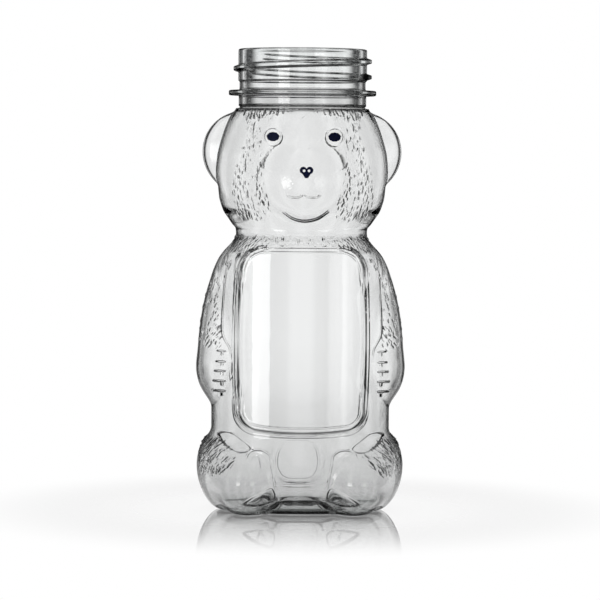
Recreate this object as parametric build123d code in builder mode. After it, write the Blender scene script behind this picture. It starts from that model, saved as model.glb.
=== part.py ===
# A clear bear-shaped squeeze bottle for honey, blow-moulded in one piece and left open at the
# top, with printed eyes and nose. Millimetres, +Z up, origin at the middle of the flat base,
# the face looking along -Y. Each form is added twice: at its full size for the outside, and
# smaller by the wall for the hollow.
from build123d import *
from math import cos, pi, sin
import os

os.makedirs("parts", exist_ok=True)

# Stack of heights, from the base up
body_height = 75.2
head_height = 33.8
neck_height = 3.5
ring_thickness = 1.4
finish_height = 11.4

# Walls
wall = 0.7
ink_thickness = 0.12

# Screw finish, the common 38 mm one with nearly one and a half turns
thread_diameter = 37.5
neck_diameter = 34.6
bore_diameter = 32.0
thread_pitch = 4.23
thread_turns = 1.45
thread_root_width = 2.4
thread_crest_width = 1.0
thread_start = 3.3
thread_start_angle = -25
thread_sink = 0.35
ring_diameter = 40.0
rim_radius = 0.4
ring_edge_radius = 0.45

# Torso and head
torso_width = 48.4
torso_depth = 44.0
head_width = 45.8
head_depth = 42.0

# Ears
ear_radius = 11.2
ear_thickness = 4.6
ear_span = 53.6
ear_height = 97.6

# Snout
snout_radius = 10.3
snout_rise = 6.4
snout_height = 89.2

# Arms and paws
arm_span = 56.3
arm_half_width = 12.3
arm_half_depth = 12.5
arm_half_height = 26.5
arm_height = 46.0
paw_half_width = 7.6
paw_half_depth = 11.5
paw_half_height = 8.9
paw_height = 38.2

# Legs and feet
leg_span = 56.3
leg_half_width = 9.5
leg_half_depth = 19.0
leg_half_height = 12.0
leg_height = 12.0
foot_half_width = 8.4
foot_half_depth = 9.8
foot_half_height = 9.2
foot_spacing = 29.4
foot_height = 7.0
foot_reach = 24.2

# Tail
tail_radius = 5.8
tail_rise = 5.0
tail_height = 12.4

# Label panels, one on the belly and one on the back
panel_width = 35.8
panel_bottom = 22.3
panel_top = 71.6
panel_corner = 5.0
panel_recess = 0.6

# Push-up in the base
push_up_width = 26.0
push_up_depth = 19.0
push_up_height = 2.2

# Printed eyes and nose
eye_width = 3.3
eye_height = 2.4
eye_spacing = 16.4
eye_level = 101.3
nose_width = 3.5
nose_height = 3.0
nose_level = 92.0
nose_lobe_radius = 0.95
nostril_radius = 0.4
nostril_spacing = 1.24
nostril_rise = 0.4

# Torso sections: shares of body_height, of half torso_width and of half torso_depth
torso_shares = (
    (0.000, 0.800, 0.720),
    (0.025, 0.870, 0.810),
    (0.070, 0.935, 0.905),
    (0.160, 0.985, 0.980),
    (0.340, 1.000, 1.000),
    (0.600, 1.000, 1.000),
    (0.780, 0.990, 1.000),
    (0.860, 0.960, 0.995),
    (0.910, 0.910, 0.990),
    (0.950, 0.820, 0.965),
    (0.985, 0.745, 0.860),
    (1.020, 0.735, 0.800),
)
# Head sections: shares of head_height, of half head_width and of half head_depth
head_shares = (
    (-0.020, 0.770, 0.830),
    (0.040, 0.785, 0.845),
    (0.120, 0.870, 0.890),
    (0.240, 0.965, 0.950),
    (0.400, 0.998, 0.990),
    (0.560, 0.995, 1.000),
    (0.760, 0.945, 0.970),
    (0.910, 0.862, 0.900),
    (1.000, 0.790, 0.840),
)
torso_squareness = 2.35
head_squareness = 2.1
section_points = 20
# Half width of the ellipse that a label panel lies on, as a share of torso_width
panel_curve_share = 0.55
# How far the middle of a lobe is from the surface that it stands out of, as a share of its rise
snout_sink_share = 0.38
tail_sink_share = 0.4
# How far a paw is set forward, as a share of its half depth
paw_forward_share = 0.1
# How far the neck and the bore run down past the head's top, as shares of the neck's height
neck_sink_share = 0.6
bore_sink_share = 0.9
# How far under its crown the point between the nose's lobes is, as a share of their radius
nose_notch_share = 0.5

# Levels worked out from the stack
head_top = body_height + head_height
ring_level = head_top + neck_height
finish_level = ring_level + ring_thickness
rim_level = finish_level + finish_height
overrun = ring_diameter


def oval_points(half_width, half_depth, squareness):
    """Points round a rounded square, the first on +X."""
    power = 2 / squareness
    points = []
    for step in range(section_points):
        angle = 2 * pi * step / section_points
        across = abs(cos(angle)) ** power * (1 if cos(angle) >= 0 else -1)
        deep = abs(sin(angle)) ** power * (1 if sin(angle) >= 0 else -1)
        points.append((half_width * across, half_depth * deep))
    return points


def stack_of_ovals(shares, level, height, width, depth, squareness, inset):
    """Loft through the ovals of a table of shares, each drawn in by the inset."""
    with BuildPart() as form:
        for height_share, width_share, depth_share in shares:
            half_width = width_share * width / 2 - inset
            half_depth = depth_share * depth / 2 - inset
            with BuildSketch(Plane.XY.offset(level + height_share * height)):
                with BuildLine():
                    Spline(*oval_points(half_width, half_depth, squareness), periodic=True)
                make_face()
        loft()
    return form.part


def lobe(centre, half_sizes, inset):
    """Ellipsoid with its half sizes drawn in by the inset."""
    with BuildPart() as form:
        Sphere(1)
        scale(by=tuple(half_size - inset for half_size in half_sizes))
    return form.part.moved(Location(centre))


def torso(inset):
    return stack_of_ovals(
        torso_shares, 0, body_height, torso_width, torso_depth, torso_squareness, inset
    )


def head(inset):
    return stack_of_ovals(
        head_shares, body_height, head_height, head_width, head_depth, head_squareness, inset
    )


def snout(inset):
    centre = (0, snout_rise * snout_sink_share - head_depth / 2, snout_height)
    return lobe(centre, (snout_radius, snout_rise, snout_radius), inset)


def ear(side, inset):
    """Disc with a half-round rim, standing out of the side of the head."""
    radius = ear_radius - inset
    half = ear_thickness / 2 - inset
    with BuildPart() as form:
        with BuildSketch():
            with BuildLine():
                Line((0, -half), (radius - half, -half))
                ThreePointArc((radius - half, -half), (radius, 0), (radius - half, half))
                Polyline((radius - half, half), (0, half), (0, -half))
            make_face()
        revolve(axis=Axis.Y)
    centre = (side * (ear_span / 2 - ear_radius), 0, ear_height)
    return form.part.moved(Location(centre))


def arm(side, inset):
    centre = (side * (arm_span / 2 - arm_half_width), 0, arm_height)
    return lobe(centre, (arm_half_width, arm_half_depth, arm_half_height), inset)


def paw(side, inset):
    across = side * (arm_span / 2 - paw_half_width)
    centre = (across, -paw_half_depth * paw_forward_share, paw_height)
    return lobe(centre, (paw_half_width, paw_half_depth, paw_half_height), inset)


def leg(side, inset):
    centre = (side * (leg_span / 2 - leg_half_width), 0, leg_height)
    return lobe(centre, (leg_half_width, leg_half_depth, leg_half_height), inset)


def foot(side, inset):
    centre = (side * foot_spacing / 2, foot_half_depth - foot_reach, foot_height)
    return lobe(centre, (foot_half_width, foot_half_depth, foot_half_height), inset)


def tail(inset):
    centre = (0, torso_depth / 2 - tail_rise * tail_sink_share, tail_height)
    return lobe(centre, (tail_radius, tail_rise, tail_radius), inset)


def push_up(inset):
    sizes = (push_up_width / 2, push_up_depth / 2, push_up_height)
    return lobe((0, 0, 0), sizes, -inset)


def panel_cut(side, inset):
    """What a label panel takes off the belly (side -1) or the back (side 1)."""
    middle = (panel_bottom + panel_top) / 2
    half_depth = torso_depth / 2 - panel_recess - inset
    half_width = torso_width * panel_curve_share - inset
    with BuildPart() as form:
        with BuildSketch(Plane.XZ):
            with Locations((0, middle)):
                RectangleRounded(
                    panel_width + 2 * inset,
                    panel_top - panel_bottom + 2 * inset,
                    panel_corner + inset,
                )
        extrude(amount=-side * overrun)
        with BuildSketch():
            Ellipse(half_width, half_depth)
        extrude(amount=rim_level, mode=Mode.SUBTRACT)
    return form.part


def bear(inset):
    """The whole rounded form up to the neck, drawn in by the inset and flat underneath."""
    forms = [torso(inset), head(inset), snout(inset), tail(inset)]
    for side in (-1, 1):
        forms += [ear(side, inset), arm(side, inset), paw(side, inset)]
        forms += [leg(side, inset), foot(side, inset)]
    cuts = [panel_cut(-1, inset), panel_cut(1, inset), push_up(inset)]
    with BuildPart() as form:
        for piece in forms:
            add(piece)
        for piece in cuts:
            add(piece, mode=Mode.SUBTRACT)
        with Locations((0, 0, inset)):
            Box(
                2 * overrun,
                2 * overrun,
                overrun,
                align=(Align.CENTER, Align.CENTER, Align.MAX),
                mode=Mode.SUBTRACT,
            )
    return form.part


outer_form = bear(0)
hollow_form = bear(wall)

with BuildPart() as finish:
    with Locations((0, 0, rim_level)):
        Cylinder(
            neck_diameter / 2,
            rim_level - head_top + neck_height * neck_sink_share,
            align=(Align.CENTER, Align.CENTER, Align.MAX),
        )
    with Locations((0, 0, ring_level)):
        Cylinder(
            ring_diameter / 2,
            ring_thickness,
            align=(Align.CENTER, Align.CENTER, Align.MIN),
        )
    ring_edges = finish.edges().filter_by(GeomType.CIRCLE).sort_by(SortBy.RADIUS)[-2:]
    fillet(ring_edges, ring_edge_radius)
    rim_edge = finish.edges().filter_by(GeomType.CIRCLE).sort_by(Axis.Z)[-1]
    fillet(rim_edge, rim_radius)

with BuildPart() as thread:
    path_radius = neck_diameter / 2 - thread_sink
    with BuildLine():
        turns = Helix(
            thread_pitch,
            thread_pitch * thread_turns,
            path_radius,
            center=(0, 0, finish_level + thread_start),
        )
    with BuildSketch(Plane(origin=turns @ 0, x_dir=(1, 0, 0), z_dir=turns % 0)):
        depth = (thread_diameter - neck_diameter) / 2 + thread_sink
        with BuildLine():
            Polyline(
                (0, -thread_root_width / 2),
                (depth, -thread_crest_width / 2),
                (depth, thread_crest_width / 2),
                (0, thread_root_width / 2),
                (0, -thread_root_width / 2),
            )
        make_face()
    sweep(path=turns, is_frenet=True)

with BuildPart() as bottle:
    add(outer_form)
    add(finish.part)
    add(thread.part.rotate(Axis.Z, thread_start_angle))
    add(hollow_form, mode=Mode.SUBTRACT)
    with Locations((0, 0, rim_level)):
        Hole(bore_diameter / 2, depth=rim_level - head_top + neck_height * bore_sink_share)
bottle.part.label = "bottle"
export_step(bottle.part, "parts/bottle.step")

# The ink lies on the surface of the head or the snout, and follows its curve
for side, side_name in ((-1, "right"), (1, "left")):
    with BuildPart() as eye_print:
        with BuildSketch(Plane.XZ):
            with Locations((side * eye_spacing / 2, eye_level)):
                Ellipse(eye_width / 2, eye_height / 2)
        extrude(amount=overrun)
        add(head(-ink_thickness), mode=Mode.INTERSECT)
        add(outer_form, mode=Mode.SUBTRACT)
    eye_print.part.label = side_name + "_eye_print"
    export_step(eye_print.part, "parts/" + side_name + "_eye_print.step")

with BuildPart() as nose_print:
    with BuildSketch(Plane.XZ):
        lobe_across = nose_width / 2 - nose_lobe_radius
        lobe_up = nose_level + nose_height / 2 - nose_lobe_radius
        with Locations((-lobe_across, lobe_up), (lobe_across, lobe_up)):
            Circle(nose_lobe_radius)
        with BuildLine():
            Polyline(
                (-nose_width / 2, lobe_up),
                (0, nose_level - nose_height / 2),
                (nose_width / 2, lobe_up),
                (0, lobe_up + nose_lobe_radius * nose_notch_share),
                (-nose_width / 2, lobe_up),
            )
        make_face()
        with Locations(
            (-nostril_spacing / 2, nose_level + nostril_rise),
            (nostril_spacing / 2, nose_level + nostril_rise),
        ):
            Circle(nostril_radius, mode=Mode.SUBTRACT)
    extrude(amount=overrun)
    add(snout(-ink_thickness), mode=Mode.INTERSECT)
    add(outer_form, mode=Mode.SUBTRACT)
nose_print.part.label = "nose_print"
export_step(nose_print.part, "parts/nose_print.step")
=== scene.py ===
import bpy
import math
import numpy as np
from mathutils import Euler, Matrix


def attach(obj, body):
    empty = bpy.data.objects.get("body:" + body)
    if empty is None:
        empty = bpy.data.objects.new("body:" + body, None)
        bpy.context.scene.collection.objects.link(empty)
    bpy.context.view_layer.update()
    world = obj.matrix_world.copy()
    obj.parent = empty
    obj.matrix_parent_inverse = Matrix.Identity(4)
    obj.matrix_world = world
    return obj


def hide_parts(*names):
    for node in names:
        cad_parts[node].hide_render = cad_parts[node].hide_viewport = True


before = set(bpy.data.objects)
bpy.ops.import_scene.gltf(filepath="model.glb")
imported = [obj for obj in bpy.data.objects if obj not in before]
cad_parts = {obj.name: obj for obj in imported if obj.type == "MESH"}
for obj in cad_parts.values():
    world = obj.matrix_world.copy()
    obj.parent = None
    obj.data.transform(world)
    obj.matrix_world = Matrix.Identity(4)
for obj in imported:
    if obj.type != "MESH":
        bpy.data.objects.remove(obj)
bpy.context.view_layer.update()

# Sizes are in millimetres until a mesh is written, which is in metres. X is across, the face looks
# towards -Y, and levels are heights above the floor.
MM = 0.001
BASE_WALL = 0.65
SKIN = 0.52
THINNEST_WALL = 0.22
MEAN_RADIUS = 22.0
COLUMNS = 880
SEED = 7
FAR = 1e9

# Screw finish, from the top of the head up. The thread begins and ends at angles in degrees.
HEAD_TOP = 109.0
RING_BOTTOM = 112.5
RING_TOP = 113.9
STEP_LEVEL = 116.0
RIM = 125.05
NECK_RADIUS = 17.3
COLLAR_RADIUS = 17.1
THREAD_ROOT = 17.45
BORE_RADIUS = 16.0
THREAD_RADIUS = 18.75
THREAD_PITCH = 4.23
THREAD_FIRST_LEVEL = 117.65
THREAD_FROM = -25.0
THREAD_TO = 497.0

# Turns of the finish's profile: radius, and height above the level that each is given
NECK_FOOT = ((17.3, 0.08), (16.95, 0.3), (17.05, 0.5))
RING_UNDERSIDE = ((17.45, 0.0), (18.5, 0.0), (19.6, 0.0), (19.9, 0.1), (20.0, 0.35))
RING_UPPER_SIDE = ((20.0, -0.35), (19.9, -0.1), (19.6, 0.0), (18.5, 0.0), (17.4, 0.0), (17.2, 0.15))
STEP_TO_THREAD = ((17.15, 0.3), (17.3, 0.4), (17.42, 0.5))
RIM_TURN = (
    (17.4, -0.25), (17.27, -0.08), (17.05, 0.0), (16.7, 0.0), (16.35, 0.0), (16.15, -0.06), (16.03, -0.2),
)
BORE_FOOT = ((16.05, 0.5), (16.2, 0.1))

# Body core and head: height, half width, half depth, squareness
CORE = (
    (0.0, 19.8, 14.6, 2.3),
    (2.0, 21.3, 16.2, 2.3),
    (5.0, 22.8, 18.5, 2.3),
    (8.0, 23.5, 20.7, 2.3),
    (9.0, 23.7, 21.2, 2.3),
    (12.0, 23.9, 21.5, 2.35),
    (22.0, 24.2, 22.0, 2.4),
    (29.0, 24.2, 22.0, 2.4),
    (37.0, 23.2, 22.0, 2.4),
    (58.0, 23.2, 22.0, 2.4),
    (64.6, 22.9, 22.1, 2.6),
    (68.0, 21.9, 22.1, 2.8),
    (69.5, 21.0, 22.1, 2.8),
    (71.1, 19.7, 22.0, 2.8),
    (72.8, 18.5, 20.9, 2.6),
    (74.0, 17.85, 19.2, 2.3),
    (75.2, 17.8, 18.1, 2.1),
    (76.4, 17.9, 17.8, 2.1),
    (77.7, 18.9, 18.1, 2.1),
    (79.3, 20.0, 18.8, 2.1),
    (80.9, 21.1, 19.4, 2.1),
    (82.6, 21.8, 19.9, 2.1),
    (85.0, 22.45, 20.5, 2.1),
    (91.3, 22.9, 21.0, 2.1),
    (95.9, 22.6, 20.9, 2.1),
    (100.5, 21.5, 20.2, 2.1),
    (105.9, 19.6, 18.7, 2.05),
    (109.0, 18.0, 17.7, 2.0),
)

# Lobes of the body, mirrored where they are off the middle: centre, half sizes (across, deep, up,
# down), blend outside and inside, and share of the wall thickness
ARM = ((15.85, 0.0, 40.0), (12.2, 13.6, 32.8, 13.0), 2.0, 2.2, 1.15)
PAW = ((20.7, -1.4, 38.0), (7.05, 11.4, 8.9, 9.0), 2.2, 2.4, 1.35)
LEG = ((18.65, 0.5, 12.2), (9.45, 19.0, 10.6, 13.4), 1.5, 1.7, 1.0)
FOOT = ((14.9, -13.8, 8.4), (8.0, 10.2, 9.4, 9.0), 2.8, 2.8, 1.0)
TAIL = ((0.0, 20.8, 10.6), (6.6, 2.8, 7.8, 6.0), 5.0, 5.0, 1.0)
EAR = ((15.85, 0.0, 97.3), (11.2, 3.3, 11.0, 11.3), 0.6, 0.6, 0.42)
BRIDGE = ((0.0, -16.9, 98.2), (5.0, 3.6, 7.0, 8.0), 3.4, 3.5, 1.0)
LOBES = (ARM, PAW, LEG, FOOT, TAIL, EAR, BRIDGE)

# Snout: centre and half sizes, and its blend with the head, which is tighter under the chin
SNOUT = ((0.0, -18.3, 89.2), (10.3, 6.6, 10.3, 10.3))
SNOUT_LEVELS = (80.0, 86.0)
SNOUT_BLENDS = (1.0, 2.4)
SNOUT_INNER_BLEND = 1.0

# Outlines and paths by X and level, on one side where they are mirrored
THIGH_FACET = (
    (-22.6, 21.5), (-20.8, 22.4), (-18.4, 22.2), (-15.9, 20.6), (-13.4, 18.5),
    (-14.3, 17.1), (-16.9, 16.8), (-19.6, 17.8), (-21.8, 19.7),
)
FOOT_PAD = ((-15.6, 3.7), (-11.8, 6.4), (-7.9, 7.9), (-6.9, 4.6), (-9.0, 3.2), (-12.5, 2.9))
SLEEVE_EDGE = (
    (19.6, 70.0), (20.7, 62.7), (21.3, 53.7), (21.3, 48.8), (20.6, 46.8), (19.3, 44.4), (18.9, 41.0),
)
MUZZLE_BROW = ((9.6, 92.4), (8.4, 95.4), (6.2, 97.4), (3.6, 98.6), (1.4, 99.0))
FOOT_ARCH = (
    (15.4, 12.5), (14.8, 15.9), (13.6, 17.5), (12.1, 18.0), (10.2, 17.8), (8.6, 16.7), (7.9, 15.0),
)
TOE_ARCH = ((13.9, 11.5), (13.6, 15.4), (12.5, 16.4), (11.5, 15.4), (11.2, 11.5))
FOOT_SIDE = ((8.4, 16.0), (7.5, 11.2), (6.9, 7.0), (6.6, 3.0))
TAIL_RIM = ((-3.6, 16.5), (-1.8, 16.7), (0.0, 16.8), (1.8, 16.7), (3.6, 16.5))
TAIL_FACE = (
    (-3.2, 15.8), (3.2, 15.8), (5.3, 13.9), (6.0, 10.9), (5.4, 7.7), (3.2, 5.6),
    (-3.2, 5.6), (-5.4, 7.7), (-6.0, 10.9), (-5.3, 13.9), (-3.2, 15.8),
)
CHIN = ((-5.6, 81.5), (-3.0, 79.7), (0.4, 78.9), (3.9, 79.7), (6.9, 81.7))
FINGER_LEVELS = (43.8, 41.0, 38.5, 35.8, 33.1)

# Dents: outline, depth and bevel
DENTS = ((THIGH_FACET, 0.26, 0.68), (FOOT_PAD, 0.6, 0.5))
# Lines on each side: path, width and height, which is negative in a groove
SIDE_LINES = (
    (SLEEVE_EDGE, 0.2, -0.1),
    (FOOT_ARCH, 0.22, -0.2),
    (TOE_ARCH, 0.2, -0.14),
    (MUZZLE_BROW, 1.5, -0.39),
    (FOOT_SIDE, 0.2, -0.14),
)
# Lines over the middle: path, width, height, whether in front, and whether tapered
MIDDLE_LINES = (
    (CHIN, 0.25, -0.62, True, True),
    (TAIL_RIM, 0.34, 0.24, False, True),
    (TAIL_FACE, 0.34, 0.14, False, False),
)

# Prints: name, centre in the front view, half width and half height of the grid they are cut from
LEFT_EYE = ("left_eye_ink", (8.2, 101.3), 1.75, 1.3)
RIGHT_EYE = ("right_eye_ink", (-8.2, 101.3), 1.75, 1.3)
NOSE = ("nose_ink", (0.65, 91.9), 1.9, 1.6)

# Colour of the plastic by level, as grey levels between the base's and the rim's colours. Apart from the
# plastic's own faint green tint,
# this is painted shade: darker towards the base and in bands at the ledge and the neck ring, where thick
# walls and refraction show shade
BASE_SHADE_COLOUR = (0.54, 0.555, 0.55, 1)
RIM_COLOUR = (0.99, 1.0, 1.0, 1)
RED_LOSS = 0.003
SHADE_GREYS = (
    (3.0, 0.68), (7.0, 0.82), (17.0, 0.87), (25.0, 0.89), (34.0, 0.955), (47.0, 0.98),
    (107.0, 0.965), (109.5, 0.87), (112.3, 0.89), (112.6, 0.8), (113.8, 0.8), (114.1, 1.0),
)

# Light strips: degrees from the front towards +X, half width, soft edge and level
SOFTBOXES = ((-35, 9.6, 1.4, 4.2), (31, 7.0, 6.0, 1.6), (135, 8.0, 4.0, 0.3), (-135, 8.0, 4.0, 0.3))
WHITE = (1, 1, 1, 1)

# Camera, in metres, degrees and the picture's pixels
CAMERA_DISTANCE = 0.816
CAMERA_LEVEL = 0.0978
CAMERA_YAW = -1.35
CAMERA_ROLL = 0.45
CLIP_START = 0.01
SENSOR_WIDTH = 36.0
PICTURE_PIXELS = 600
FOCAL_PIXELS = 3000
AIM_ASIDE = 0.9
AIM_BELOW = 150


def smooth_curve(heights, values, at):
    """Smooth curve through points, without overshoot."""
    slopes = np.diff(values) / np.diff(heights)
    tangents = np.concatenate(([slopes[0]], np.zeros(len(slopes) - 1), [slopes[-1]]))
    before, after = slopes[:-1], slopes[1:]
    turning = before * after > 0
    tangents[1:-1][turning] = 2 * before[turning] * after[turning] / (before + after)[turning]
    span = np.clip(np.searchsorted(heights, at, side="right") - 1, 0, len(slopes) - 1)
    width = heights[span + 1] - heights[span]
    t = np.clip((at - heights[span]) / width, 0, 1)
    return (
        values[span] * (1 + 2 * t) * (1 - t) ** 2
        + values[span + 1] * t * t * (3 - 2 * t)
        + tangents[span] * width * t * (1 - t) ** 2
        + tangents[span + 1] * width * t * t * (t - 1)
    )


def step_up(value, start, end):
    """Smooth rise from 0 at start to 1 at end."""
    t = np.clip((value - start) / (end - start), 0, 1)
    return t * t * (3 - 2 * t)


def bell(offset, width):
    """Smooth bump, 1 where the offset is zero."""
    return np.exp(-((offset / width) ** 2))


def squared_oval(angles, half_width, half_depth, power):
    """Radius of an oval that is squarer than an ellipse where the power is above 2."""
    across = (np.abs(np.sin(angles)) / half_width) ** power
    deep = (np.abs(np.cos(angles)) / half_depth) ** power
    return (across + deep) ** (-1 / power)


def core_radius(angles, levels, inset):
    """Radius of the body and head without their lobes."""
    heights, half_widths, half_depths, powers = np.array(CORE).T
    half_width = smooth_curve(heights, half_widths, levels)[:, None] - inset
    half_depth = smooth_curve(heights, half_depths, levels)[:, None] - inset
    power = smooth_curve(heights, powers, levels)[:, None]
    return squared_oval(angles[None, :], half_width, half_depth, power)


def barrel_radius(angles, inset):
    """Radius of the plain barrel that the label panels are sunk to."""
    half_width, half_depth, power = 25.6, 21.25, 2.25
    return squared_oval(angles[None, :], half_width - inset, half_depth - inset, power)


def lobe_distance(x, y, z, centre, half_sizes, inset):
    """Distance to an ellipsoid, near enough close to its surface. Its last size is the one below."""
    least_slope = 1e-6
    half_width, half_depth, above, below = [half_size - inset for half_size in half_sizes]
    sizes = (half_width, half_depth, np.where(z > centre[2], above, below))
    offsets = (x - centre[0], y - centre[1], z - centre[2])
    near = sum((offset / size) ** 2 for offset, size in zip(offsets, sizes))
    steep = sum((offset / size ** 2) ** 2 for offset, size in zip(offsets, sizes))
    near = np.sqrt(near)
    return near * (near - 1) / np.maximum(np.sqrt(steep), least_slope)


def merge(first, second, blend):
    """Join two distances with a rounded inner corner."""
    share = np.maximum(blend - np.abs(first - second), 0) / blend
    return np.minimum(first, second) - share * share * blend / 4


def body_radius(angles, levels, inset):
    """Outermost radius of the moulding at each angle and level, outside or, inset, inside."""
    start_beyond, steps, step_share = 14.0, 44, 0.85
    core_share, least_share = 0.9, 0.98
    sines, cosines = np.sin(angles)[None, :], np.cos(angles)[None, :]
    core = core_radius(angles, levels, inset)
    z = levels[:, None] + 0 * sines
    radius = core + start_beyond
    snout_blend = np.interp(levels, SNOUT_LEVELS, SNOUT_BLENDS)[:, None]
    snout_blend = snout_blend + SNOUT_INNER_BLEND * (inset > 0)
    for _ in range(steps):
        x, y = np.abs(radius * sines), -radius * cosines
        distance = (radius - core) * core_share
        for centre, half_sizes, blend, inner_blend, wall_share in LOBES:
            lobe = lobe_distance(x, y, z, centre, half_sizes, inset * wall_share)
            distance = merge(distance, lobe, inner_blend if inset else blend)
        snout = lobe_distance(x, y, z, *SNOUT, inset)
        distance = merge(distance, snout, snout_blend)
        radius = np.maximum(radius - distance * step_share, core * least_share)
    return radius


def column_angles():
    """Angles round the axis from the front, closer together at the flat sides of the ears."""
    samples, crowding = 20001, 14
    ear_edge, spread = math.radians(85.2), math.radians(1.6)
    fine = np.linspace(0, math.pi / 2, samples)
    density = 1 + crowding * bell(fine - ear_edge, spread)
    total = np.concatenate(([0], np.cumsum((density[1:] + density[:-1]) / 2)))
    quarter = np.interp(np.linspace(0, total[-1], COLUMNS // 4 + 1), total, fine)
    half = np.concatenate((quarter, math.pi - quarter[-2::-1]))
    return np.concatenate((half, 2 * math.pi - half[-2:0:-1]))


def gap_to_stretch(x, z, start, end):
    """Distance to a straight stretch, and how far along it the nearest point is, from 0 to 1."""
    along = end - start
    share = ((x - start[0]) * along[0] + (z - start[1]) * along[1]) / (along @ along)
    share = np.clip(share, 0, 1)
    return np.hypot(x - start[0] - share * along[0], z - start[1] - share * along[1]), share


class Relief:
    """What the mould adds to the outer radius, drawn by its place in the front or back view."""

    def __init__(self, angles, levels, radius):
        self.angles, self.levels, self.radius = angles, levels, radius
        self.height = np.zeros_like(radius)
        self.x = radius * np.sin(angles)[None, :]
        self.z = levels[:, None] + 0 * self.x
        self.front = np.cos(angles) > 0

    def window(self, points, margin, front):
        """Rows and columns that may lie near some points of the view."""
        low_x, low_z = points.min(axis=0) - margin
        high_x, high_z = points.max(axis=0) + margin
        rows = np.flatnonzero((self.levels > low_z) & (self.levels < high_z))
        if not len(rows):
            return None
        block = self.x[rows]
        columns = np.flatnonzero(
            (self.front == front) & (block.max(axis=0) > low_x) & (block.min(axis=0) < high_x)
        )
        if not len(columns):
            return None
        return np.ix_(rows, columns)

    def line(self, points, width, height, front=True, tapered=False):
        """A ridge, or with a negative height a groove, along a path in the view."""
        widths_kept = 3
        points = np.array(points, float)
        box = self.window(points, widths_kept * width, front)
        if box is None:
            return
        x, z = self.x[box], self.z[box]
        nearest = np.full(x.shape, FAR)
        full = np.ones(x.shape)
        pieces = len(points) - 1
        for piece, (start, end) in enumerate(zip(points[:-1], points[1:])):
            gap, share = gap_to_stretch(x, z, start, end)
            if tapered:
                along_path = (piece + share) / pieces
                full = np.where(gap < nearest, np.sqrt(4 * along_path * (1 - along_path)), full)
            nearest = np.minimum(nearest, gap)
        self.height[box] += height * full * bell(nearest, width)

    def dent(self, outline, depth, bevel):
        """Sink the inside of a closed outline in the front view, with bevelled edges."""
        box = self.window(outline, 0, True)
        if box is None:
            return
        x, z = self.x[box], self.z[box]
        nearest = np.full(x.shape, FAR)
        inside = np.zeros(x.shape, bool)
        for start, end in zip(outline, np.roll(outline, -1, axis=0)):
            nearest = np.minimum(nearest, gap_to_stretch(x, z, start, end)[0])
            if start[1] != end[1]:
                crosses = (start[1] > z) != (end[1] > z)
                at = start[0] + (z - start[1]) * (end[0] - start[0]) / (end[1] - start[1])
                inside ^= crosses & (x < at)
        self.height[box] -= depth * inside * step_up(nearest, 0, bevel)

    def angle_at(self, x, level):
        """Angle round the axis at which the front of the moulding reaches x at a level."""
        tries = 4
        row = min(np.searchsorted(self.levels, level), len(self.levels) - 1)
        angle = math.asin(min(x / self.radius[row].max(), 1))
        for _ in range(tries):
            column = np.searchsorted(self.angles, angle) % len(self.angles)
            angle = math.asin(min(x / self.radius[row, column], 1))
        return angle

    def stroke(self, angle, level, length, lean, width, height):
        """One tuft of fur, placed by its angle round the axis and its level."""
        reach = length / 2 + 2 * width
        column = np.searchsorted(self.angles, angle % (2 * math.pi)) % len(self.angles)
        row = np.searchsorted(self.levels, level)
        if row >= len(self.levels):
            return
        radius = self.radius[row, column]
        turn = (self.angles - angle + math.pi) % (2 * math.pi) - math.pi
        columns = np.flatnonzero(np.abs(turn * radius) < reach)
        rows = np.flatnonzero(np.abs(self.levels - level) < reach)
        if not len(rows) or not len(columns):
            return
        across = (turn[columns] * radius)[None, :]
        up = (self.levels[rows] - level)[:, None]
        along = across * math.sin(lean) + up * math.cos(lean)
        aside = across * math.cos(lean) - up * math.sin(lean)
        taper = np.clip(1 - (2 * along / (length + width)) ** 2, 0, 1)
        self.height[np.ix_(rows, columns)] += height * np.sqrt(taper) * bell(aside, width)


def smooth_path(points, closed=False):
    """Points of a smooth curve through a few given points."""
    steps = 8
    points = np.array(points, float)
    if closed:
        around = np.concatenate((points[-1:], points, points[:2]))
    else:
        around = np.concatenate((points[:1], points, points[-1:]))
    path = []
    for before, start, end, after in zip(around, around[1:], around[2:], around[3:]):
        for t in np.linspace(0, 1, steps, endpoint=False):
            path.append(
                start
                + t * (end - before) / 2
                + t * t * (before - 2.5 * start + 2 * end - after / 2)
                + t ** 3 * (1.5 * start - before / 2 - 1.5 * end + after / 2)
            )
    if not closed:
        path.append(points[-1])
    return np.array(path)


def arc(centre, radii, sweep, count):
    """Points of an ellipse in the view, from its +X end through an angle."""
    turn = np.linspace(0, sweep, count)
    across = centre[0] + radii[0] * np.cos(turn)
    return np.stack((across, centre[1] + radii[1] * np.sin(turn)), axis=1)


def panel_outline(x, z, front):
    """Distance from the outline of the front or back label panel: negative in the panel."""
    panel_top, back_bottom, front_bottom = 72.2, 19.4, 22.2
    bottom_rise, rise_span = 0.9, 14.0
    top_corner, bottom_corner = 6.5, 4.6
    front_half, back_half = 17.9, 19.0
    widest_level, narrowing, narrowing_span = 46.0, 1.0, 24.0
    bottom = np.where(front, front_bottom + bottom_rise * (x / rise_span) ** 2, back_bottom)
    middle, half_height = (panel_top + bottom) / 2, (panel_top - bottom) / 2
    corner = np.where(z > middle, top_corner, bottom_corner)
    half_width = np.where(front, front_half, back_half)
    half_width = half_width - narrowing * ((z - widest_level) / narrowing_span) ** 2
    side = np.abs(x) - half_width + corner
    top = np.abs(z - middle) - half_height + corner
    outside = np.hypot(np.maximum(side, 0), np.maximum(top, 0))
    return outside + np.minimum(np.maximum(side, top), 0) - corner


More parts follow.
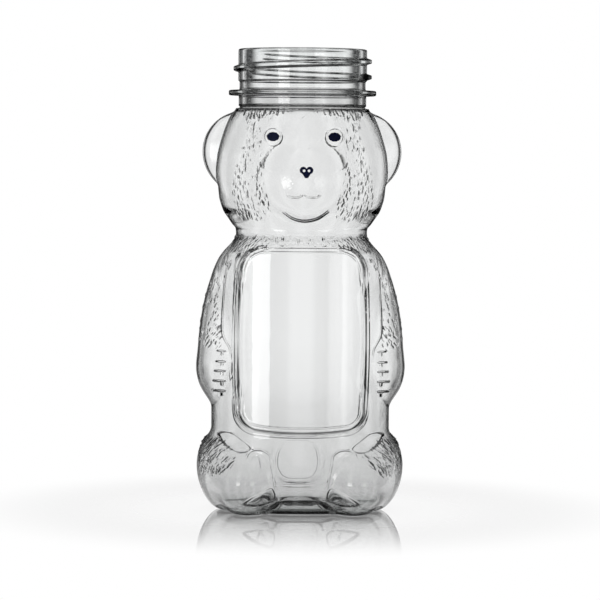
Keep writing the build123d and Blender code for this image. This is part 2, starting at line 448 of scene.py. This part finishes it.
def add_panels(angles, levels, radius):
    """Sink the label panels into the belly and the back, with a groove and a ridge along them."""
    middle, half_span, furthest = 47.0, 22.0, 1.2
    bevel, bevel_lost = 1.05, 0.35
    depth, depth_added = 0.16, 0.42
    groove, ridge, line_width, ridge_inside = 0.14, 0.1, 0.2, 1.55
    edge_in_middle, edge_added = 0.45, 0.55
    x = radius * np.sin(angles)[None, :]
    z = levels[:, None] + 0 * x
    outline = panel_outline(x, z, (np.cos(angles) > 0)[None, :])
    towards_ends = np.minimum(((z - middle) / half_span) ** 2, furthest)
    inside = np.clip(-outline / (bevel - bevel_lost * towards_ends), 0, 1)
    sunk = np.minimum(radius - depth - depth_added * towards_ends, barrel_radius(angles, 0))
    edge = groove * bell(outline, line_width) - ridge * bell(outline + ridge_inside, line_width)
    return radius + (sunk - radius) * inside - edge * (edge_in_middle + edge_added * towards_ends)


def add_eye_ring_and_lip(relief, side):
    """Ring round one eye and one half of the mouth."""
    eye, ring_radius, ring_width, ring_height, ring_points = (8.25, 101.3), 2.35, 0.2, 0.12, 40
    lip, lip_radii, lip_width, lip_height, lip_points = (2.35, 85.9), (1.85, -0.7), 0.19, 0.2, 12
    ring = arc((side * eye[0], eye[1]), (ring_radius, ring_radius), 2 * math.pi, ring_points)
    relief.line(ring, ring_width, ring_height)
    smile = arc((side * lip[0], lip[1]), lip_radii, math.pi, lip_points)
    relief.line(smile, lip_width, lip_height)


def add_fingers(relief, side):
    """Grooves between the fingers of one paw, each with a short tick below it."""
    inner_end, outer_end, end_gain = 20.4, 22.7, 0.3
    depth, depth_gain, width = 0.25, 0.07, 0.2
    tick_share, tick_head, tick_foot = 0.6, (21.4, 0.1), (21.3, 1.4)
    for finger, level in enumerate(FINGER_LEVELS):
        deep = depth + depth_gain * finger
        reach = outer_end + end_gain * finger
        groove = ((side * inner_end, level), (side * reach, level))
        relief.line(groove, width, -deep, tapered=True)
        tick = ((side * tick_head[0], level - tick_head[1]), (side * tick_foot[0], level - tick_foot[1]))
        relief.line(tick, width, -tick_share * deep, tapered=True)


def add_lines(relief):
    """Face, paws, legs and tail."""
    for side in (-1, 1):
        mirror = np.array((side, 1))
        add_eye_ring_and_lip(relief, side)
        add_fingers(relief, side)
        for outline, depth, bevel in DENTS:
            relief.dent(smooth_path(outline, closed=True) * mirror, depth, bevel)
        for path, width, height in SIDE_LINES:
            relief.line(smooth_path(path) * mirror, width, height, tapered=True)
    for path, width, height, front, tapered in MIDDLE_LINES:
        relief.line(smooth_path(path), width, height, front, tapered)


def in_cheek(x, z):
    """Band down the side of the face."""
    levels = (79, 84, 92, 100, 105)
    middle = np.interp(z, levels, (12.3, 14.3, 14.9, 13.5, 13.5))
    half_width = np.interp(z, levels, (4.3, 5.0, 3.4, 2.2, 1.6))
    return abs(x - middle) < half_width


def anywhere(x, z):
    """The whole of a patch's rectangle."""
    return True


def in_collar(x, z):
    """All round above the panel, and lower down beside it."""
    beside_panel, above_panel = 9, 72.4
    return x > beside_panel or z > above_panel


def arm_band(deepest, nearest):
    """Test for a band along the arm's outer edge, by the distances inside that edge."""
    levels, edges = (45, 52, 60, 69), (28, 27.8, 26.3, 21.8)

    def in_band(x, z):
        edge = np.interp(z, levels, edges)
        return edge - deepest < x < edge - nearest

    return in_band


def in_haunch(x, z):
    """Outer side of the thigh, below the facet and beyond a slanting line."""
    lowest, highest, gap = 11, 19.8, 0.6
    slant, slant_from = 0.9, 21
    facet_edge = np.interp(x, (15.0, 18.3, 20.5, 22.1, 22.2), (16.6, 17.3, 19.0, 21.0, 24.0))
    return lowest < z < min(facet_edge - gap, highest) and x + slant * (z - lowest) > slant_from


# Patches of fur: the test of a place, how many places are tried and where, and the strokes' size,
# their lean towards the outside, how it grows outwards, and where some go round to the back
FUR = (
    dict(keep=in_cheek, tries=560, across=(8, 20), up=(79, 105),
         length=1.15, height=0.085, lean=0.12, wrap_from=17.5),
    dict(keep=anywhere, tries=52, across=(5, 16), up=(105.8, 108.4),
         length=1.6, height=0.09, fan=0.05),
    dict(keep=in_collar, tries=520, across=(0, 19), up=(70.6, 74.5),
         length=0.6, height=0.08, lean=0.1),
    dict(keep=arm_band(deepest=3.8, nearest=0.3), tries=210, across=(17, 28), up=(45, 68),
         length=1.0, height=0.12, lean=-0.35, wrap_from=20.0),
    dict(keep=arm_band(deepest=1.7, nearest=0.2), tries=110, across=(17, 28), up=(45, 68),
         length=0.9, height=0.1, lean=-0.35),
    dict(keep=arm_band(deepest=5.0, nearest=1.5), tries=60, across=(20, 28), up=(44.5, 50.5),
         length=1.4, height=0.11, lean=-0.9),
    dict(keep=in_haunch, tries=330, across=(15, 28), up=(11, 21.5),
         length=2.0, height=0.13, lean=-0.6, wrap_from=23.0),
)


def add_fur(relief, rng, keep, tries, across, up, length, height, lean=0.0, fan=0.0, wrap_from=FAR):
    """Strokes on both sides at random places that pass a test, some wrapped round to the back."""
    fan_middle, lean_spread, level_spread = 8, 0.16, 0.2
    shortest, longest, wrapped_share = 0.7, 1.3, 0.25
    front_width, wrapped_width = 0.13, 0.15
    for _ in range(tries):
        x = rng.uniform(*across)
        z = rng.uniform(*up)
        if not keep(x, z):
            continue
        angle = relief.angle_at(x, z)
        for side in (-1, 1):
            tilt = side * (lean + fan * (x - fan_middle) + rng.normal(0, lean_spread))
            size = length * rng.uniform(shortest, longest)
            if x > wrap_from and rng.uniform() < wrapped_share:
                relief.stroke(side * (math.pi - angle), z, size, -tilt, wrapped_width, height)
                continue
            level = z + rng.normal(0, level_spread)
            relief.stroke(side * angle, level, size, tilt, front_width, height)


def add_waviness(angles, levels, radius, rng):
    """Slight unevenness of a blown wall, with a finer grain over the snout."""
    snout_level, flattening, snout_inside, snout_outside = 91.0, 0.62, 8.5, 12.0
    least_tilt, most_tilt, last_phase = 0.2, 1.6, 7
    around = (angles * MEAN_RADIUS)[None, :]
    x = radius * np.sin(angles)[None, :]
    front = (np.cos(angles) > 0)[None, :]
    up = levels[:, None]
    from_snout = np.hypot(x, (up - snout_level) * flattening)
    snout = front * (1 - step_up(from_snout, snout_inside, snout_outside))
    # Waves: number, longest, shortest, height and where
    for count, longest, shortest, height, where in (
        (14, 16.0, 5.0, 0.0012, 1.0),
        (26, 1.7, 0.85, 0.003, snout),
    ):
        for _ in range(count):
            turns = max(1, round(2 * math.pi * MEAN_RADIUS / rng.uniform(shortest, longest)))
            sideways = turns * rng.choice((-1, 1)) / MEAN_RADIUS
            tilt = rng.uniform(least_tilt, most_tilt)
            phase = rng.uniform(0, last_phase)
            wave = np.cos(sideways * around + tilt * abs(sideways) * up + phase)
            radius = radius + height * where * wave
    return radius


def turn_rows(points, level):
    """Rows of a turn in the profile, placed at its level."""
    return [(radius, level + rise) for radius, rise in points]


def wall_rows(radius, first_level, last_level, count):
    """Rows of a straight wall."""
    return [(radius, level) for level in np.linspace(first_level, last_level, count)]


def finish_rows():
    """Radius and level up the outside of the neck, over the rim and down the bore."""
    neck_from, neck_to, neck_count = HEAD_TOP + 0.7, RING_BOTTOM - 0.15, 6
    collar_from, collar_to, collar_count = RING_TOP + 0.4, STEP_LEVEL + 0.1, 12
    thread_from, thread_to, thread_count = STEP_LEVEL + 0.65, RIM - 0.45, 72
    bore_from, bore_to, bore_count = RIM - 0.45, HEAD_TOP + 0.9, 30
    rows = turn_rows(NECK_FOOT, HEAD_TOP)
    rows += wall_rows(NECK_RADIUS, neck_from, neck_to, neck_count)
    rows += turn_rows(RING_UNDERSIDE, RING_BOTTOM)
    rows += turn_rows(RING_UPPER_SIDE, RING_TOP)
    rows += wall_rows(COLLAR_RADIUS, collar_from, collar_to, collar_count)
    rows += turn_rows(STEP_TO_THREAD, STEP_LEVEL)
    rows += wall_rows(THREAD_ROOT, thread_from, thread_to, thread_count)
    rows += turn_rows(RIM_TURN, RIM)
    rows += wall_rows(BORE_RADIUS, bore_from, bore_to, bore_count)
    rows += turn_rows(BORE_FOOT, HEAD_TOP)
    return rows


def thread_height(angles, level):
    """How far the thread stands out at one level, for each angle round the axis."""
    start_angle, lead_in, run_out = 90, 22, 30
    crest_half, root_half = 0.4, 1.0
    degrees = np.degrees(angles) - start_angle
    height = np.zeros_like(angles)
    for turn in range(-1, 3):
        along = degrees + 360 * turn
        middle = THREAD_FIRST_LEVEL + THREAD_PITCH * along / 360
        begun = step_up(along, THREAD_FROM, THREAD_FROM + lead_in)
        ended = step_up(along, THREAD_TO - run_out, THREAD_TO)
        bead = 1 - step_up(np.abs(level - middle), crest_half, root_half)
        height = np.maximum(height, (THREAD_RADIUS - THREAD_ROOT) * bead * (begun * (1 - ended)))
    return height


def base_rings(outline, floor):
    """Rings from the middle of the base out to its edge, raised in the middle."""
    count, lift, innermost, outermost = 24, 2.2, 0.04, 0.96
    flat_to, floor_from = 0.35, 0.74
    rings = []
    for share in np.linspace(innermost, outermost, count):
        rise = lift * (1 - step_up(share, flat_to, floor_from))
        rings.append((outline * share, np.full_like(outline, floor + rise)))
    return rings


def level_rings(radius, levels):
    """One ring for each level of a wall."""
    return [(row, np.full_like(row, level)) for row, level in zip(radius, levels)]


def finish_rings(angles):
    """Rings of the neck finish, with the thread added to its outside."""
    thread_end, outside_from = RIM - 0.3, 17
    rings = []
    for base, level in finish_rows():
        ring = np.full(len(angles), base)
        if STEP_LEVEL < level < thread_end and base > outside_from:
            ring = ring + thread_height(angles, level)
        rings.append((ring, np.full(len(angles), level)))
    return rings


def add_piece(name, mesh):
    """Object in the scene for a mesh."""
    mesh.shade_smooth()
    piece = bpy.data.objects.new(name, mesh)
    bpy.context.scene.collection.objects.link(piece)
    return piece


def mesh_from_rings(name, rings, angles):
    """Closed mesh from rings of radius and level, with a fan at each end."""
    radius = np.stack([ring[0] for ring in rings])
    level = np.stack([ring[1] for ring in rings])
    count, columns = radius.shape
    places = np.stack((radius * np.sin(angles), -radius * np.cos(angles), level), axis=2)
    ends = np.array(((0, 0, level[0].mean()), (0, 0, level[-1].mean())))
    places = np.concatenate((places.reshape(-1, 3), ends)) * MM
    first, last = count * columns, count * columns + 1
    near = np.arange(columns)
    far = (near + 1) % columns
    row = (np.arange(count - 1) * columns)[:, None]
    quads = np.stack((row + near, row + far, row + columns + far, row + columns + near), axis=2)
    top = (count - 1) * columns
    first_fan = np.stack((np.full(columns, first), far, near), axis=1)
    last_fan = np.stack((top + near, top + far, np.full(columns, last)), axis=1)
    loops = np.concatenate((quads.ravel(), first_fan.ravel(), last_fan.ravel()))
    sizes = np.concatenate((np.full((count - 1) * columns, 4), np.full(2 * columns, 3)))
    starts = np.concatenate(([0], np.cumsum(sizes)[:-1]))
    mesh = bpy.data.meshes.new(name)
    mesh.vertices.add(len(places))
    mesh.vertices.foreach_set("co", places.astype(np.float32).ravel())
    mesh.loops.add(len(loops))
    mesh.loops.foreach_set("vertex_index", loops.astype(np.int32))
    mesh.polygons.add(len(sizes))
    mesh.polygons.foreach_set("loop_start", starts.astype(np.int32))
    mesh.update(calc_edges=True)
    mesh.validate()
    return add_piece(name, mesh)


def heel_inset(levels, heel_top, heel_height):
    """How far the rounded edge of the base draws the wall in."""
    most = 1.1
    drop = ((heel_top - levels) / heel_height).clip(0)
    heel = np.sqrt(np.clip(1 - drop ** 2, 0, 1))
    return (most * (1 - heel))[:, None]


def outer_wall(angles):
    """Levels and radius of the outside, with its panels, relief and waviness."""
    lowest, heel_top, heel_count, count = 0.02, 1.4, 9, 680
    rng = np.random.default_rng(SEED)
    heel_levels = np.linspace(lowest, heel_top, heel_count)[:-1]
    levels = np.concatenate((heel_levels, np.linspace(heel_top, HEAD_TOP, count)))
    radius = add_panels(angles, levels, body_radius(angles, levels, 0))
    relief = Relief(angles, levels, radius)
    add_lines(relief)
    for patch in FUR:
        add_fur(relief, rng, **patch)
    radius = add_waviness(angles, levels, radius + relief.height, rng)
    return levels, radius - heel_inset(levels, heel_top, heel_top)


def thickness_changes(angles, levels, x):
    """What the inside gains beside the ears, less what it loses at the jaw and the chin."""
    ear_gain, ear_spread = 0.26, 22
    ear_from, ear_full, ear_fading, ear_to = 85.0, 90.0, 104.0, 108.0
    jaw_loss, jaw_level, jaw_height, jaw_from, jaw_full = 0.4, 80.2, 1.5, 13.0, 18.0
    chin_loss, chin_level, chin_height, chin_full, chin_to = 0.32, 79.9, 1.9, 5.5, 9.0
    front = (np.cos(angles) > 0)[None, :]
    beside_ear = bell(np.degrees(angles) % 180 - 90, ear_spread)[None, :]
    ear_levels = step_up(levels, ear_from, ear_full) * (1 - step_up(levels, ear_fading, ear_to))
    ears = ear_gain * beside_ear * ear_levels[:, None]
    jaw = jaw_loss * bell(levels - jaw_level, jaw_height)[:, None]
    chin = chin_loss * bell(levels - chin_level, chin_height)[:, None] * front
    jaw = jaw * step_up(np.abs(x), jaw_from, jaw_full)
    chin = chin * (1 - step_up(np.abs(x), chin_full, chin_to))
    return ears - jaw - chin


def inner_wall(angles, outer_levels, outer):
    """Levels, from the neck down, and radius of the inside."""
    heel_top, heel_height, heel_count, count = 1.8, 1.16, 10, 260
    panel_inside, panel_outside = -2.6, 1.4
    heel_levels = np.linspace(heel_top, BASE_WALL, heel_count)[1:]
    levels = np.concatenate((np.linspace(HEAD_TOP - BASE_WALL, heel_top, count), heel_levels))
    inner = body_radius(angles, levels, SKIN)
    x = inner * np.sin(angles)[None, :]
    z = levels[:, None] + 0 * x
    inner = inner + thickness_changes(angles, levels, x)
    outline = panel_outline(x, z, (np.cos(angles) > 0)[None, :])
    inside = 1 - step_up(outline, panel_inside, panel_outside)
    inner = inner + (np.minimum(inner, barrel_radius(angles, SKIN)) - inner) * inside
    for column in range(len(angles)):
        limit = np.interp(levels, outer_levels, outer[:, column]) - THINNEST_WALL
        inner[:, column] = np.minimum(inner[:, column], limit)
    return levels, inner - heel_inset(levels, heel_top, heel_height)


def bottle_mesh():
    """The moulding as one closed surface: base, outside, finish, bore, inside and base again."""
    angles = column_angles()
    outer_levels, outer = outer_wall(angles)
    inner_levels, inner = inner_wall(angles, outer_levels, outer)
    rings = base_rings(outer[0], 0.0)
    rings += level_rings(outer, outer_levels)
    rings += finish_rings(angles)
    rings += level_rings(inner, inner_levels)
    rings += base_rings(inner[-1], BASE_WALL)[::-1]
    return mesh_from_rings("bottle_moulding", rings, angles)


def in_eye(x, z):
    """An oval with a slightly ragged edge."""
    half_width, half_height = 1.65, 1.2
    ragged, waves, finer, finer_waves = 0.03, 9, 0.02, 17
    turn = np.arctan2(z, x)
    edge = 1 + ragged * np.sin(waves * turn) + finer * np.sin(finer_waves * turn)
    return np.hypot(x / half_width, z / half_height) < edge


def in_nose(x, z):
    """A heart with two nostrils left clear."""
    lobe_x, lobe_z, lobe_radius = 0.85, 0.55, 0.95
    tip_z, tip_half, tip_growth, tip_power, tip_top = -1.5, 0.35, 0.66, 0.95, 0.75
    nostril_x, nostril_z, nostril_radius = 0.66, 0.45, 0.36
    above_tip = np.maximum(z - tip_z, 0)
    lobes = np.hypot(np.abs(x) - lobe_x, z - lobe_z) < lobe_radius
    tip = (z < tip_top) & (z > tip_z) & (np.abs(x) < tip_half + tip_growth * above_tip ** tip_power)
    nostrils = np.hypot(np.abs(x) - nostril_x, z - nostril_z) < nostril_radius
    return (lobes | tip) & ~nostrils


def print_mesh(name, centre, half_width, half_height, shape):
    """Ink lying on the front of the moulding, as a fine grid cut to a shape."""
    step, widest_angle, angle_count = 0.05, 1.2, 1200
    lift, thickness = 0.1, 0.12
    across = np.arange(-half_width, half_width + step, step)
    up = np.arange(-half_height, half_height + step, step)
    angles = np.linspace(-widest_angle, widest_angle, angle_count)
    levels = centre[1] + up
    radius = body_radius(angles, levels, 0)
    wanted = centre[0] + across
    places = []
    for row, level in enumerate(levels):
        x, y = radius[row] * np.sin(angles), -radius[row] * np.cos(angles)
        places += zip(wanted, np.interp(wanted, x, y) - lift, np.full(len(wanted), level))
    places = np.array(places) * MM
    faces = []
    for row in range(len(up) - 1):
        for column in range(len(across) - 1):
            if shape(across[column] + step / 2, up[row] + step / 2):
                corner = row * len(across) + column
                faces.append((corner, corner + 1, corner + len(across) + 1, corner + len(across)))
    used = sorted({corner for face in faces for corner in face})
    renamed = {corner: index for index, corner in enumerate(used)}
    mesh = bpy.data.meshes.new(name)
    mesh.from_pydata(places[used].tolist(), [], [[renamed[c] for c in face] for face in faces])
    piece = add_piece(name, mesh)
    solid = piece.modifiers.new("thickness", "SOLIDIFY")
    solid.thickness = thickness * MM
    solid.offset = -1.0
    return piece


def new_material(name):
    """Material with the nodes and links to build it from."""
    material = bpy.data.materials.new(name)
    material.use_nodes = True
    return material, material.node_tree.nodes, material.node_tree.links


def make(nodes, kind, values=(), **settings):
    """New node with its settings and the values of its sockets."""
    node = nodes.new("ShaderNode" + kind)
    for name, value in settings.items():
        setattr(node, name, value)
    for name, value in dict(values).items():
        node.inputs[name].default_value = value
    return node


def feed(links, value, socket):
    """Give a socket a plain number or another node's output."""
    if isinstance(value, float):
        socket.default_value = value
    else:
        links.new(value, socket)


def calculate(nodes, links, operation, first, second):
    """Result of a sum or product of two levels."""
    node = make(nodes, "Math", operation=operation)
    feed(links, first, node.inputs[0])
    feed(links, second, node.inputs[1])
    return node.outputs["Value"]


def fade(nodes, links, value, start, end, before, after):
    """Level that goes smoothly from one value to another as its input passes from start to end."""
    values = {"From Min": start, "From Max": end, "To Min": before, "To Max": after}
    node = make(nodes, "MapRange", values, interpolation_type="SMOOTHSTEP")
    links.new(value, node.inputs["Value"])
    return node.outputs["Result"]


def mixed(nodes, links, share, yes, no):
    """Mix of two levels."""
    mix = make(nodes, "Mix", data_type="FLOAT")
    links.new(share, mix.inputs[0])
    feed(links, no, mix.inputs[2])
    feed(links, yes, mix.inputs[3])
    return mix.outputs[0]


def choose(nodes, links, flag, yes, no):
    """One level where a Light Path flag is set, and another where it is not."""
    return mixed(nodes, links, nodes["Light Path"].outputs[flag], yes, no)


def blended(nodes, links, share, first, second):
    """Mix of two shaders."""
    mix = make(nodes, "MixShader")
    links.new(share, mix.inputs["Fac"])
    links.new(first, mix.inputs[1])
    links.new(second, mix.inputs[2])
    return mix.outputs["Shader"]


def clear_plastic():
    """Clear polyester, greyer with depth, with painted shade in its colour towards the base and at the
    ring.
    """
    material, nodes, links = new_material("clear_polyester")
    shader = nodes["Principled BSDF"]
    place = make(nodes, "TexCoord")
    split = make(nodes, "SeparateXYZ")
    links.new(place.outputs["Object"], split.inputs["Vector"])
    height = make(nodes, "MapRange", {"From Max": RIM * MM})
    links.new(split.outputs["Z"], height.inputs["Value"])
    # Painted shade: this ramp darkens the colour towards the base and at the ledge and the neck ring;
    # only the slight green tint is the plastic's own
    shades = make(nodes, "ValToRGB")
    ramp = shades.color_ramp
    ramp.elements[0].color = BASE_SHADE_COLOUR
    ramp.elements[1].color = RIM_COLOUR
    for level, grey in SHADE_GREYS:
        stop = ramp.elements.new(level / RIM)
        stop.color = (grey - RED_LOSS, grey, grey, 1)
    links.new(height.outputs["Result"], shades.inputs["Fac"])
    links.new(shades.outputs["Color"], shader.inputs["Base Color"])
    shader.inputs["Transmission Weight"].default_value = 1.0
    shader.inputs["Roughness"].default_value = 0.01
    shader.inputs["IOR"].default_value = 1.575
    tint = make(nodes, "VolumeAbsorption", {"Color": (0.5, 0.53, 0.52, 1), "Density": 70.0})
    links.new(tint.outputs["Volume"], nodes["Material Output"].inputs["Volume"])
    return material


def ink():
    """Navy printing ink, slightly mottled and uneven."""
    material, nodes, links = new_material("navy_ink")
    shader = nodes["Principled BSDF"]
    shader.inputs["Roughness"].default_value = 0.5
    shader.inputs["Specular IOR Level"].default_value = 0.25
    place = make(nodes, "TexCoord")
    noise = make(nodes, "TexNoise", {"Scale": 2600.0, "Detail": 4.0})
    links.new(place.outputs["Object"], noise.inputs["Vector"])
    shades = make(nodes, "ValToRGB")
    dark, light = shades.color_ramp.elements
    dark.color, dark.position = (0.0015, 0.004, 0.03, 1), 0.3
    light.color, light.position = (0.006, 0.013, 0.075, 1), 0.75
    links.new(noise.outputs["Fac"], shades.inputs["Fac"])
    links.new(shades.outputs["Color"], shader.inputs["Base Color"])
    bump = make(nodes, "Bump", {"Strength": 0.15, "Distance": 0.00004})
    links.new(noise.outputs["Fac"], bump.inputs["Height"])
    links.new(bump.outputs["Normal"], shader.inputs["Normal"])
    return material


def floor_material():
    """White floor. Its mirror image and its shadow fade with distance from the bottle."""
    material, nodes, links = new_material("studio_floor")
    nodes.remove(nodes["Principled BSDF"])
    path = make(nodes, "LightPath")
    place = make(nodes, "TexCoord")
    length = make(nodes, "VectorMath", operation="LENGTH")
    links.new(place.outputs["Object"], length.inputs[0])
    distance = length.outputs["Value"]
    mirror_share = fade(nodes, links, distance, start=0.02, end=0.1, before=0.75, after=0.0)
    matt_share = fade(nodes, links, distance, start=0.03, end=0.1, before=0.5, after=0.0)
    glow = make(nodes, "Emission")
    level = choose(nodes, links, "Is Camera Ray", yes=1.0, no=0.35)
    links.new(level, glow.inputs["Strength"])
    matt = make(nodes, "BsdfDiffuse", {"Color": WHITE})
    mirror = make(nodes, "BsdfGlossy", {"Color": WHITE, "Roughness": 0.0})
    clear = make(nodes, "BsdfTransparent")
    plain = blended(nodes, links, matt_share, glow.outputs["Emission"], matt.outputs["BSDF"])
    glossy = blended(nodes, links, mirror_share, plain, mirror.outputs["BSDF"])
    seen_through = path.outputs["Is Transmission Ray"]
    surface = blended(nodes, links, seen_through, glossy, clear.outputs["BSDF"])
    links.new(surface, nodes["Material Output"].inputs["Surface"])
    return material


def sectors(nodes, links, vector, period, offset, full, edge, low, high):
    """Level that is high in sectors of azimuth all round and low between them."""
    whole_turns = 20
    split = make(nodes, "SeparateXYZ")
    links.new(vector, split.inputs["Vector"])
    azimuth = calculate(nodes, links, "ARCTAN2", split.outputs["X"], split.outputs["Y"])
    shift = math.radians(offset) + 2 * whole_turns * math.pi
    shifted = calculate(nodes, links, "ADD", azimuth, shift)
    wrapped = calculate(nodes, links, "PINGPONG", shifted, math.radians(period / 2))
    return fade(nodes, links, wrapped, math.radians(full), math.radians(edge), high, low)


def seen_through_plastic(nodes, links, direction, rise):
    """White with dark gaps, dark overhead and dimmer low down behind and on the camera's side."""
    gaps = {"period": 45, "offset": CAMERA_YAW, "high": 1.0}
    narrow = sectors(nodes, links, direction, full=5.5, edge=10.5, low=0.02, **gaps)
    wide = sectors(nodes, links, direction, full=14, edge=20, low=0.1, **gaps)
    wide_share = 0.22
    mirrored = nodes["Light Path"].outputs["Glossy Depth"]
    share = calculate(nodes, links, "MULTIPLY", mirrored, wide_share)
    level = mixed(nodes, links, share, wide, narrow)
    overhead = fade(nodes, links, rise, start=0.13, end=0.26, before=1.0, after=0.05)
    level = calculate(nodes, links, "MULTIPLY", level, overhead)
    half = {"period": 360, "full": 20, "edge": 24}
    near_side = sectors(nodes, links, direction, offset=-180, low=1.0, high=0.86, **half)
    level = calculate(nodes, links, "MULTIPLY", level, near_side)
    below = fade(nodes, links, rise, start=-0.34, end=-0.2, before=0.25, after=1.0)
    behind = sectors(nodes, links, direction, offset=0, low=0.0, high=1.0, **half)
    below_behind = mixed(nodes, links, behind, below, 1.0)
    return calculate(nodes, links, "MULTIPLY", level, below_behind)


def seen_in_reflection(nodes, links, direction, rise):
    """Dark with soft light strips, which end above and below."""
    level = 0.03
    for turn, half, soft, high in SOFTBOXES:
        strip = {"offset": turn - 180, "full": half, "edge": half + soft, "high": high}
        strip = sectors(nodes, links, direction, period=360, low=0.0, **strip)
        level = calculate(nodes, links, "ADD", level, strip)
    low_end = fade(nodes, links, rise, start=-0.28, end=-0.12, before=0.0, after=1.0)
    top_end = fade(nodes, links, rise, start=0.04, end=0.24, before=1.0, after=0.15)
    level = calculate(nodes, links, "MULTIPLY", level, low_end)
    return calculate(nodes, links, "MULTIPLY", level, top_end)


def add_world():
    """White studio, with what the plastic refracts and reflects."""
    world = bpy.data.worlds.new("studio")
    bpy.context.scene.world = world
    world.use_nodes = True
    nodes, links = world.node_tree.nodes, world.node_tree.links
    nodes.clear()
    make(nodes, "LightPath")
    direction = make(nodes, "TexCoord").outputs["Generated"]
    split = make(nodes, "SeparateXYZ")
    links.new(direction, split.inputs["Vector"])
    rise = split.outputs["Z"]
    through = seen_through_plastic(nodes, links, direction, rise)
    reflected = seen_in_reflection(nodes, links, direction, rise)
    level = choose(nodes, links, "Is Reflection Ray", reflected, 1.0)
    level = choose(nodes, links, "Is Transmission Ray", through, level)
    level = choose(nodes, links, "Is Camera Ray", 1.0, level)
    level = choose(nodes, links, "Is Singular Ray", 1.0, level)
    background = make(nodes, "Background", {"Color": WHITE})
    links.new(level, background.inputs["Strength"])
    output = make(nodes, "OutputWorld")
    links.new(background.outputs["Background"], output.inputs["Surface"])


def add_floor():
    """Round floor, just below the bottle's base."""
    corners, radius, drop = 128, 0.2, 0.0002
    bpy.ops.mesh.primitive_circle_add(vertices=corners, radius=radius, fill_type="NGON")
    floor = bpy.context.object
    floor.name = "studio_floor"
    floor.location = (0, 0, -drop)
    floor.data.materials.append(floor_material())


def add_camera():
    """Camera level with the head, looking slightly down."""
    camera_data = bpy.data.cameras.new("camera")
    camera = bpy.data.objects.new("camera", camera_data)
    bpy.context.scene.collection.objects.link(camera)
    camera_data.sensor_width = SENSOR_WIDTH
    camera_data.lens = SENSOR_WIDTH * FOCAL_PIXELS / PICTURE_PIXELS
    camera_data.clip_start = CLIP_START
    yaw = math.radians(CAMERA_YAW)
    aside, back = CAMERA_DISTANCE * math.sin(yaw), -CAMERA_DISTANCE * math.cos(yaw)
    camera.location = (aside, back, CAMERA_LEVEL)
    tilt = math.pi / 2 - math.atan(AIM_BELOW / FOCAL_PIXELS)
    aim = Euler((tilt, 0, yaw + math.atan(AIM_ASIDE / FOCAL_PIXELS)))
    roll = Euler((0, 0, math.radians(CAMERA_ROLL)))
    camera.rotation_euler = (aim.to_matrix() @ roll.to_matrix()).to_euler()
    bpy.context.scene.camera = camera


bottle = bottle_mesh()
bottle.data.materials.append(clear_plastic())
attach(bottle, "root")
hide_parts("bottle")

navy = ink()
for (name, centre, half_width, half_height), shape in (
    (LEFT_EYE, in_eye),
    (RIGHT_EYE, in_eye),
    (NOSE, in_nose),
):
    print_piece = print_mesh(name, centre, half_width, half_height, shape)
    print_piece.data.materials.append(navy)
    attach(print_piece, "root")
    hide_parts(name.replace("_ink", "_print"))

add_floor()
add_world()
add_camera()
bpy.context.scene.view_settings.view_transform = "Standard"
